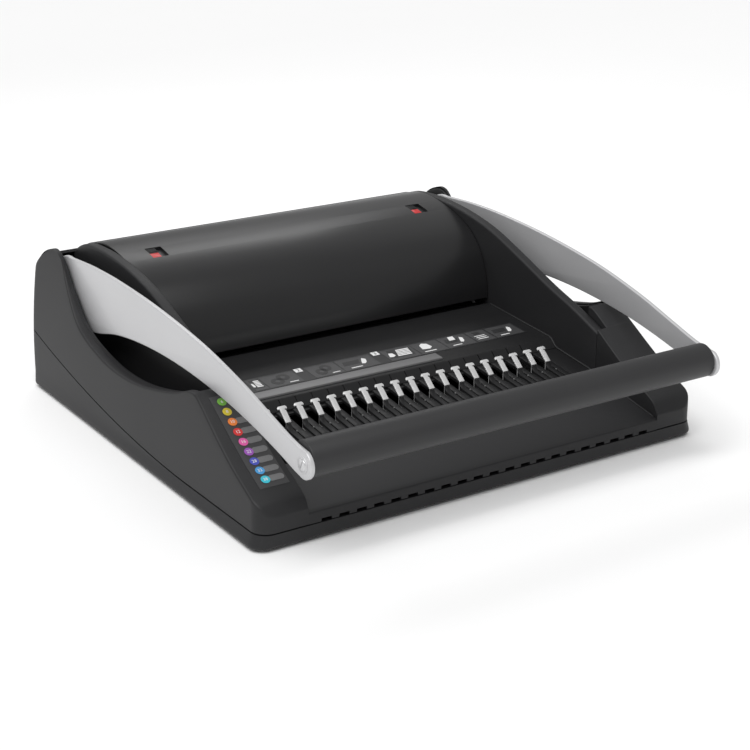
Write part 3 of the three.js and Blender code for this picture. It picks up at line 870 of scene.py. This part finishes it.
def figure_mesh(text, size):
    """A flat figure as a mesh lying in the XY plane, centred on the origin."""
    curve = bpy.data.curves.new("figure", "FONT")
    curve.body = text
    curve.size = size
    curve.align_x = "CENTER"
    curve.align_y = "CENTER"
    curve.resolution_u = 2
    drawn = bpy.data.objects.new("figure", curve)
    bpy.context.scene.collection.objects.link(drawn)
    graph = bpy.context.evaluated_depsgraph_get()
    graph.update()
    mesh = bpy.data.meshes.new_from_object(drawn.evaluated_get(graph))
    bpy.data.objects.remove(drawn)
    bm = bmesh.new()
    bm.from_mesh(mesh)
    bpy.data.meshes.remove(mesh)
    bmesh.ops.remove_doubles(bm, verts=bm.verts, dist=1e-6)
    return bm


def lay_figures(name, finish, figures, body):
    """Figures with a little thickness, each (bmesh, matrix), as one piece."""
    whole = bmesh.new()
    for bm, matrix in figures:
        thicken(bm, bm.faces[:], (0, 0, PRINT_THICK))
        bmesh.ops.transform(bm, matrix=matrix, verts=bm.verts)
        bmesh.ops.recalc_face_normals(bm, faces=bm.faces)
        join(whole, bm)
    piece = make_piece(name, whole, finish)
    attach(piece, body)


deck_tilt = Matrix.Rotation(math.atan2(0.0056, 0.0875), 4, "X")
tag_figures = [
    (
        figure_mesh(number, 0.0062),
        Matrix.Translation((x, FRONT + 0.1732, deck_face(0.1732) + 0.00044)) @ deck_tilt,
    )
    for x, number in LABEL_TAGS
]
lay_figures("label_numbers", label_dark, tag_figures, "base")

# ---- size chart --------------------------------------------------------------------------
# The comb size chart stuck on the slope of the left cheek: nine coloured discs with a size
# in each, and a grey tab beside each of the seven lower ones. The label narrows where it passes the arm.
CHART_LEFT = -0.1850
CHART_DISC_X = -0.1775
CHART_FIRST = 0.0849
CHART_STEP = (0.0849 - 0.0232) / 8
DISC_RADIUS = 0.0034
CHART = [
    ("green", (0.16, 0.42, 0.05), "6"), ("yellow", (0.60, 0.48, 0.03), "8"),
    ("orange", (0.75, 0.20, 0.03), "10"), ("red", (0.60, 0.03, 0.03), "12"),
    ("pink", (0.68, 0.10, 0.35), "16"), ("violet", (0.30, 0.08, 0.42), "22"),
    ("blue", (0.06, 0.08, 0.45), "28"), ("sky", (0.06, 0.30, 0.62), "32"),
    ("cyan", (0.04, 0.50, 0.62), "38"),
]
chart_slope = [p for p in cheek_line if p.x <= 0.0972]


def slope_frame(x, y, lift):
    """Where a flat mark lies on the cheek's slope, turned to it."""
    rise = height_on(chart_slope, y + 0.002) - height_on(chart_slope, y - 0.002)
    turn = Matrix.Rotation(math.atan2(rise, 0.004), 4, "X")
    place = Matrix.Translation((x, FRONT + y, height_on(chart_slope, y)))
    return place @ turn @ Matrix.Translation((0, 0, lift))


def chart_strip(low, high, front, rear, steps):
    rings = []
    for i in range(steps + 1):
        y = front + (rear - front) * i / steps
        z = height_on(chart_slope, y)
        corners = [(low, -0.0002), (high, -0.0002), (high, 0.0003), (low, 0.0003)]
        rings.append([Vector((x, FRONT + y, z + lift)) for x, lift in corners])
    return skin(rings)


chart_grey = print_finish("chart_grey", (0.026, 0.026, 0.027), (0.040, 0.040, 0.042), 0.45)
bm = chart_strip(CHART_LEFT, -0.1700, 0.0170, 0.0900, 30)
join(bm, chart_strip(-0.1700, -0.1620, 0.0170, 0.0740, 24))
chart = make_piece("size_chart", bm, chart_grey)
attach(chart, "base")
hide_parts("size_chart_label")

tab_grey = print_finish("tab_grey", (0.120, 0.120, 0.122), (0.160, 0.160, 0.162), 0.45)
tabs = bmesh.new()
disc_figures = []
for i, (name, colour, size) in enumerate(CHART):
    y = CHART_FIRST - i * CHART_STEP
    ink = print_finish("ink_" + name, tuple(0.85 * c for c in colour), colour, 0.42)
    bm = bmesh.new()
    bmesh.ops.create_cone(
        bm, cap_ends=True, segments=32, radius1=DISC_RADIUS, radius2=DISC_RADIUS, depth=0.0001
    )
    bmesh.ops.transform(bm, matrix=slope_frame(CHART_DISC_X, y, 0.00050), verts=bm.verts)
    disc = make_piece("chart_disc_" + name, bm, ink)
    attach(disc, "base")
    disc_figures.append((figure_mesh(size, 0.0036), slope_frame(CHART_DISC_X, y, 0.00058)))
    if y < 0.074:
        bm = bmesh.new()
        bmesh.ops.create_cone(
            bm, cap_ends=True, segments=24, radius1=0.0026, radius2=0.0026, depth=0.0001
        )
        bmesh.ops.translate(bm, vec=(0.0070, 0, 0), verts=[v for v in bm.verts if v.co.x > 0.0001])
        bmesh.ops.transform(bm, matrix=slope_frame(CHART_DISC_X + 0.0048, y, 0.00042), verts=bm.verts)
        join(tabs, bm)
tab_piece = make_piece("chart_tabs", tabs, tab_grey)
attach(tab_piece, "base")
lay_figures("chart_numbers", label_white, disc_figures, "base")

# ---- rear cover --------------------------------------------------------------------------
# The back of the top housing, a charcoal panel that closes the space behind the punch and
# rounds over into the joint with the lid.
COVER = [
    (0.3469, 0.1293), (0.358, 0.1268), (0.371, 0.1205), (0.382, 0.1110), (0.389, 0.0985),
    (0.393, 0.0840),
]
COVER_THICK = 0.0025
WING_FRONT = 0.3715
WING_HALF = 0.1815
cover_line = curve_through(COVER, 8)
cover_line.append(Vector((DEPTH, seam_height(DEPTH) + SEAM_LINE / 2)))


def thick_line(line, low, high, over, under):
    """A sheet along X: a line with thickness between two depths under its face."""
    faces = []
    for i, point in enumerate(line):
        along = (line[min(i + 1, len(line) - 1)] - line[max(i - 1, 0)]).normalized()
        inward = Vector((along.y, -along.x))
        faces.append((point + inward * over, point + inward * under))
    outline = [p[0] for p in faces] + [p[1] for p in reversed(faces)]
    return prism(outline, low, high)


bm = thick_line(cover_line, -RACK_HALF, RACK_HALF, 0.0, COVER_THICK)
rear_part = [p for p in cover_line if p.x >= WING_FRONT]
for side in (-1, 1):
    low, high = sorted((side * RACK_HALF, side * WING_HALF))
    wing = thick_line(rear_part, low, high, 0.0, COVER_THICK)
    for v in wing.verts:
        if abs(v.co.x) > RACK_HALF + 0.001:
            v.co.x += side * SPLAY * (v.co.y - FRONT)
    join(bm, wing)
bmesh.ops.remove_doubles(bm, verts=bm.verts, dist=1e-6)
bmesh.ops.recalc_face_normals(bm, faces=bm.faces)
cover = make_piece("cover", bm, housing_plastic, angle=35)
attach(cover, "base")
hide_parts("rear_cover")

# ---- lid ---------------------------------------------------------------------------------
# The curved lid over the punch: one smooth dark moulding with a satin gloss, hinged at its
# foot, with a window near each end for the latch.
LID_LINE = [
    (0.2235, 0.0610), (0.2250, 0.0750), (0.2305, 0.0915), (0.2380, 0.1035), (0.2510, 0.1155),
    (0.2700, 0.1243), (0.2920, 0.1303), (0.3180, 0.1334), (0.3350, 0.1325), (0.3463, 0.1298),
]
LID_HALF = 0.1563
LID_THICK = 0.0025
WINDOW_X = 0.1265
WINDOW_HALF = 0.0070
WINDOW_FRONT = 0.2840
WINDOW_REAR = 0.3010
lid_line = curve_through(LID_LINE, 8)

lid_gloss = Finish("lid_gloss", Roughness=0.3, IOR=1.48)
lid_cloud = lid_gloss.grain(9.0, 3.0)
lid_gloss.tint(lid_cloud, (0.0120, 0.0120, 0.0126), (0.0160, 0.0160, 0.0168))
lid_gloss.feed("Roughness", 0.25 + 0.07 * lid_cloud + 0.04 * lid_gloss.grain(1200.0))
lid_gloss.relief(lid_gloss.grain(1500.0), 0.15, 0.00002)
bm = thick_line(lid_line, -LID_HALF, LID_HALF, 0.0, LID_THICK)
soften(
    bm, 0.0006, lambda e: is_hard(e) and abs(abs(e.verts[0].co.x) - LID_HALF) < 1e-6, 3
)
lid = make_piece("lid_shell", bm, lid_gloss, angle=35)
bm = bmesh.new()
for side in (-1, 1):
    x = side * WINDOW_X
    add_block(
        bm,
        (x - WINDOW_HALF, FRONT + WINDOW_FRONT, 0.115),
        (x + WINDOW_HALF, FRONT + WINDOW_REAR, 0.140),
    )
cut_out(lid, bm, 35)
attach(lid, "lid")
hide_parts("lid")

# ---- latches -----------------------------------------------------------------------------
# In each window a ribbed black thumb pad, moved along X by a finger, and a red flag before
# it. Both are snapped on a flat slider that runs under the lid.
PAD_SPAN = (-0.0066, 0.0014)
black_satin = plain_finish(
    "black_satin", (0.016, 0.016, 0.017), (0.024, 0.024, 0.025), 60.0, 0.34, 0.12, 800.0
)
red_plastic = plain_finish(
    "red_plastic", (0.42, 0.008, 0.010), (0.55, 0.014, 0.016), 60.0, 0.26, 0.10, 300.0
)


def lid_cap(x, front, rear, over, under):
    """A block in a window that follows the lid's face between two depths under it."""
    ends = [Vector((y, height_on(lid_line, y))) for y in (front, (front + rear) / 2, rear)]
    return thick_line(ends, x + PAD_SPAN[0], x + PAD_SPAN[1], over, under)


for side, name in ((-1, "left"), (1, "right")):
    x = side * WINDOW_X
    under_lid = [p for p in lid_line if 0.2780 <= p.x <= 0.3070]
    bm = thick_line(under_lid, x - 0.0170, x + 0.0120, LID_THICK + 0.0003, LID_THICK + 0.0020)
    thumb = lid_cap(x, 0.2932, 0.3004, 0.0009, 0.0034)
    soften(thumb, 0.0003, is_hard, 2)
    join(bm, thumb)
    for k in range(3):
        y = 0.2945 + 0.0021 * k
        ridge = lid_cap(x, y, y + 0.0010, 0.0003, 0.0012)
        soften(ridge, 0.0002, is_hard, 2)
        join(bm, ridge)
    slider = make_piece(name + "_latch_plate", bm, black_satin)
    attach(slider, name + "_latch")
    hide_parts(name + "_latch_slider")
    bm = lid_cap(x, 0.2846, 0.2928, 0.0009, 0.0026)
    soften(bm, 0.0004, is_hard, 3)
    flag = make_piece(name + "_latch_tab", bm, red_plastic)
    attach(flag, name + "_latch")
    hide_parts(name + "_latch_flag")

# ---- arms --------------------------------------------------------------------------------
# Two flat arms die-cast in aluminium and painted satin silver, with a rounded rim. They run
# from a round boss on the shaft to a round end that holds the grip.
PIVOT = (0.3320, 0.0960)
GRIP = (-0.0264, 0.0767)
ARM_LOW = 0.1763
ARM_HIGH = 0.1798
ARM_END = (-0.0310, 0.0754)
END_RADIUS = 0.0106
BOSS_RADIUS = 0.0300
ARM_UNDER = [
    (-0.020, 0.0670), (0.002, 0.0728), (0.034, 0.0797), (0.067, 0.0850), (0.102, 0.0886),
    (0.139, 0.0905), (0.178, 0.0902), (0.218, 0.0872), (0.252, 0.0820), (0.285, 0.0735),
]
ARM_OVER = [
    (0.297, 0.1280), (0.275, 0.1288), (0.242, 0.1288), (0.191, 0.1266), (0.142, 0.1222),
    (0.098, 0.1162), (0.050, 0.1060), (0.015, 0.0962), (-0.015, 0.0880),
]
ARM_RIM = 0.0010


def arc(centre, radius, start, end, steps):
    """Points of an arc, angles in half turns."""
    points = []
    for i in range(steps + 1):
        angle = math.pi * (start + (end - start) * i / steps)
        points.append((centre[0] + radius * math.cos(angle), centre[1] + radius * math.sin(angle)))
    return points


arm_end = arc(ARM_END, END_RADIUS, 0.62, 1.62, 24)
arm_boss = arc(PIVOT, BOSS_RADIUS, -0.62, 0.54, 24)
under = curve_through([arm_end[-1], *ARM_UNDER, arm_boss[0]], 6)[1:-1]
over = curve_through([arm_boss[-1], *ARM_OVER, arm_end[0]], 6)[1:-1]
arm_outline = [*arm_end, *under, *arm_boss, *over]

silver_paint = Finish("silver_paint", Roughness=0.42, Metallic=0.35, Coat_Weight=0.15)
flake = silver_paint.grain(2600.0)
paint_cloud = silver_paint.grain(8.0, 3.0)
silver_paint.tint(flake * 0.4 + paint_cloud * 0.6, (0.50, 0.50, 0.51), (0.62, 0.62, 0.63))
silver_paint.feed("Roughness", 0.36 + 0.08 * paint_cloud + 0.06 * flake)
silver_paint.relief(flake, 0.15, 0.00002)
for side, name in ((-1, "left"), (1, "right")):
    low, high = sorted((side * ARM_LOW, side * ARM_HIGH))
    bm = prism(arm_outline, low, high)
    soften(bm, ARM_RIM, lambda e: is_rim(e, 0), 4)
    for v in bm.verts:
        v.co.x += side * SPLAY * (v.co.y - FRONT)
    arm = make_piece(name + "_arm_plate", bm, silver_paint, angle=40)
    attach(arm, "handle")
    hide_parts(name + "_arm")

# ---- grip --------------------------------------------------------------------------------
# A long round grip of soft satin plastic pushed over a steel core between the arms.
GRIP_RADIUS = 0.0130
GRIP_HALF = 0.1752
grip_satin = Finish("grip_satin", Roughness=0.5, Specular_IOR_Level=0.35)
grip_cloud = grip_satin.grain(10.0, 3.0)
grip_satin.tint(grip_cloud, (0.0240, 0.0240, 0.0250), (0.0320, 0.0320, 0.0332))
grip_satin.feed("Roughness", 0.44 + 0.10 * grip_cloud)
grip_satin.relief(grip_satin.grain(2000.0), 0.2, 0.00003)


def add_rod(bm, x0, x1, radius, y, z, segments=48):
    """A rod along X."""
    made = bmesh.ops.create_cone(
        bm, cap_ends=True, segments=segments, radius1=radius, radius2=radius, depth=abs(x1 - x0)
    )["verts"]
    bmesh.ops.rotate(bm, cent=(0, 0, 0), matrix=Matrix.Rotation(math.pi / 2, 3, "Y"), verts=made)
    bmesh.ops.translate(bm, vec=((x0 + x1) / 2, FRONT + y, z), verts=made)
    return made


bm = bmesh.new()
add_rod(bm, -GRIP_HALF, GRIP_HALF, GRIP_RADIUS, *GRIP, segments=96)
soften(bm, 0.0008, is_hard, 3)
grip = make_piece("grip_cover", bm, grip_satin, angle=40)
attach(grip, "handle")
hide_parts("grip_sleeve")

# ---- grip screws -------------------------------------------------------------------------
# A flat round screw cap with a driver slot, set in a shallow ring at the end of each arm.
bright_zinc = plain_finish(
    "bright_zinc", (0.55, 0.55, 0.56), (0.68, 0.68, 0.69), 200.0, 0.24, 0.14, 90.0, 0.85
)
END_FACE = ARM_HIGH + SPLAY * ARM_END[0]
CAP_RADIUS = 0.0044
RING_RADIUS = 0.0062
for side, name in ((-1, "left"), (1, "right")):
    outer = side * (END_FACE + 0.0009)
    bm = bmesh.new()
    add_rod(bm, side * (END_FACE - 0.0030), outer, CAP_RADIUS, *ARM_END)
    soften(bm, 0.0005, lambda e: is_hard(e) and abs(e.verts[0].co.x - outer) < 1e-6)
    cap = make_piece(name + "_grip_cap", bm, bright_zinc)
    bm = bmesh.new()
    slot = add_block(bm, (outer - 0.0007, -0.0005, -0.0032), (outer + 0.0007, 0.0005, 0.0032))
    bmesh.ops.rotate(bm, cent=(0, 0, 0), matrix=Matrix.Rotation(0.5, 3, "X"), verts=slot)
    bmesh.ops.translate(bm, vec=(0, FRONT + ARM_END[0], ARM_END[1]), verts=slot)
    cut_out(cap, bm)
    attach(cap, "handle")
    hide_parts(name + "_grip_screw")
    bm = bmesh.new()
    add_rod(bm, side * (END_FACE - 0.001), side * (END_FACE + 0.0004), RING_RADIUS, *ARM_END)
    soften(bm, 0.0003, is_hard, 2)
    ring = make_piece(name + "_grip_ring", bm, silver_paint)
    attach(ring, "handle")

# ---- hooks -------------------------------------------------------------------------------
# A row of T-shaped hooks stamped from bright sheet and riveted on a bar. Each leans back,
# with two drooping tips at its head and a small notch in the right edge below it.
HOOK_PLATE = [
    (-2.35, -2.0), (2.35, -2.0), (2.35, 8.5), (1.50, 8.9), (1.50, 9.5), (2.6, 9.8), (3.5, 9.4),
    (3.95, 10.0), (3.9, 11.3), (2.9, 12.4), (-2.9, 12.4), (-3.9, 11.5), (-4.05, 10.3), (-3.5, 9.7),
    (-2.35, 10.2),
]
HOOK_FOOT = (0.1040, 0.0452)
HOOK_HEAD = (0.1137, 0.0532)
HOOK_THICK = 0.0012
SHANK_HALF = 0.0011
hook_silver = plain_finish(
    "hook_silver", (0.62, 0.62, 0.62), (0.78, 0.78, 0.78), 300.0, 0.30, 0.12, 150.0, 0.45
)


def hook(x):
    """One hook: a flat plate up the lean, and its upright shank down to the bar."""
    bm = bmesh.new()
    face = bm.faces.new([bm.verts.new((u / 1000, v / 1000, 0)) for u, v in HOOK_PLATE])
    thicken(bm, [face], (0, 0, HOOK_THICK))
    bmesh.ops.recalc_face_normals(bm, faces=bm.faces)
    soften(bm, 0.0002, lambda e: is_rim(e, 2), 2)
    lean = math.atan2(HOOK_HEAD[1] - HOOK_FOOT[1], HOOK_HEAD[0] - HOOK_FOOT[0])
    bmesh.ops.rotate(bm, cent=(0, 0, 0), matrix=Matrix.Rotation(lean, 3, "X"), verts=bm.verts)
    bmesh.ops.translate(bm, vec=(x, FRONT + HOOK_FOOT[0], HOOK_FOOT[1]), verts=bm.verts)
    add_block(bm, (x - SHANK_HALF, FRONT + 0.1034, 0.0340), (x + SHANK_HALF, FRONT + 0.1045, 0.0455))
    return bm


bm = bmesh.new()
add_block(bm, (-0.149, FRONT + 0.096, 0.029), (0.149, FRONT + 0.106, 0.035))
soften(bm, 0.0006, lambda e: True, 2)
for i in range(HOLES):
    join(bm, hook((i - (HOLES - 1) / 2) * PITCH))
hooks = make_piece("hook_row", bm, hook_silver)
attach(hooks, "hooks")
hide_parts("hook_bar")

# ---- chip drawer -------------------------------------------------------------------------
# The open box that catches the paper chips, moulded like the body, with a finger recess in
# its front panel at the back of the machine.
DRAWER_HALF = 0.136
DRAWER_WALL = 0.002
PANEL_HALF = 0.1465
PANEL_THICK = 0.0030
drawer_low, drawer_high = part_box("chip_tray")
drawer_rear = drawer_high.y
bm = bmesh.new()
add_block(
    bm,
    (-DRAWER_HALF, drawer_low.y, drawer_low.z),
    (DRAWER_HALF, drawer_rear - PANEL_THICK, 0.0260),
)
soften(bm, 0.0020, lambda e: True, 3)
drawer = make_piece("chip_drawer_box", bm, housing_plastic)
hollow = DRAWER_HALF - DRAWER_WALL
cut_block(
    drawer,
    (-hollow, drawer_low.y + DRAWER_WALL, drawer_low.z + DRAWER_WALL),
    (hollow, drawer_rear - PANEL_THICK - DRAWER_WALL, 0.040),
)
bm = bmesh.new()
bm.from_mesh(drawer.data)
panel = bmesh.new()
add_block(panel, (-PANEL_HALF, drawer_rear - PANEL_THICK, 0.0055), (PANEL_HALF, drawer_rear, 0.0280))
soften(panel, 0.0008, lambda e: True, 3)
join(bm, panel)
bm.to_mesh(drawer.data)
bm.free()
bm = bmesh.new()
add_block(bm, (-0.025, drawer_rear - 0.0018, 0.0100), (0.025, drawer_rear + 0.002, 0.0220))
soften(bm, 0.0012, lambda e: True, 3)
cut_out(drawer, bm)
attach(drawer, "chip_drawer")
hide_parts("chip_tray")

# ---- feet --------------------------------------------------------------------------------
# Four round rubber feet stuck in the corners of the underside, and beside each one the
# screw that holds tray and top housing together.
rubber = plain_finish(
    "rubber", (0.008, 0.008, 0.008), (0.016, 0.016, 0.016), 80.0, 0.80, 0.12, 500.0
)
rubber.relief(rubber.grain(900.0), 0.3, 0.00004)
for end in ("front", "rear"):
    for side in ("left", "right"):
        low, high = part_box("foot_" + end + "_" + side)
        bm = bmesh.new()
        bmesh.ops.create_cone(
            bm, cap_ends=True, segments=40, radius1=0.009, radius2=0.009, depth=high.z - low.z
        )
        bmesh.ops.translate(bm, vec=(low + high) / 2, verts=bm.verts)
        soften(bm, 0.0005, is_hard)
        pad = make_piece("pad_" + end + "_" + side, bm, rubber)
        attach(pad, "base")
        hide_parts("foot_" + end + "_" + side)

# ---- inside ------------------------------------------------------------------------------
# The parts under the lid and in the floor keep their solid shapes: plated links, racks,
# pins and shaft, punch parts in dark steel as painted shade for the throat, and black
# plastic guides and bushings.
plated_steel = plain_finish(
    "plated_steel", (0.34, 0.34, 0.35), (0.46, 0.46, 0.47), 160.0, 0.28, 0.18, 60.0, 0.9
)
guide_black = plain_finish(
    "guide_black", (0.014, 0.014, 0.015), (0.022, 0.022, 0.023), 60.0, 0.42, 0.14, 200.0
)
# Near-black steel for the punch parts: painted shade standing in for the shadowed throat.
throat_shade_steel = plain_finish(
    "throat_shade_steel", (0.012, 0.012, 0.013), (0.022, 0.022, 0.023), 120.0, 0.38, 0.16, 60.0, 0.5
)
# These punch parts take the dark steel as painted shade of the throat.
KEPT_THROAT_SHADE = ["die_block", "punch_guide", "punch_bar"]
KEPT_STEEL = [
    "handle_shaft", "grip_core",
    *(side + "_" + part for side in ("left", "right") for part in (
        "side_plate", "punch_rack", "hook_link", "pinion", "shaft_screw", "hinge_pin")),
    *("base_screw_" + end + "_" + side for end in ("front", "rear") for side in ("left", "right")),
]
KEPT_BLACK = [
    "depth_stop", "left_shaft_bushing", "left_bar_guide", "right_shaft_bushing", "right_bar_guide",
]
KEPT = [(KEPT_STEEL, plated_steel), (KEPT_THROAT_SHADE, throat_shade_steel), (KEPT_BLACK, guide_black)]
for names, finish in KEPT:
    for name in names:
        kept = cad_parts[name].data
        kept.materials.clear()
        kept.materials.append(finish.material)
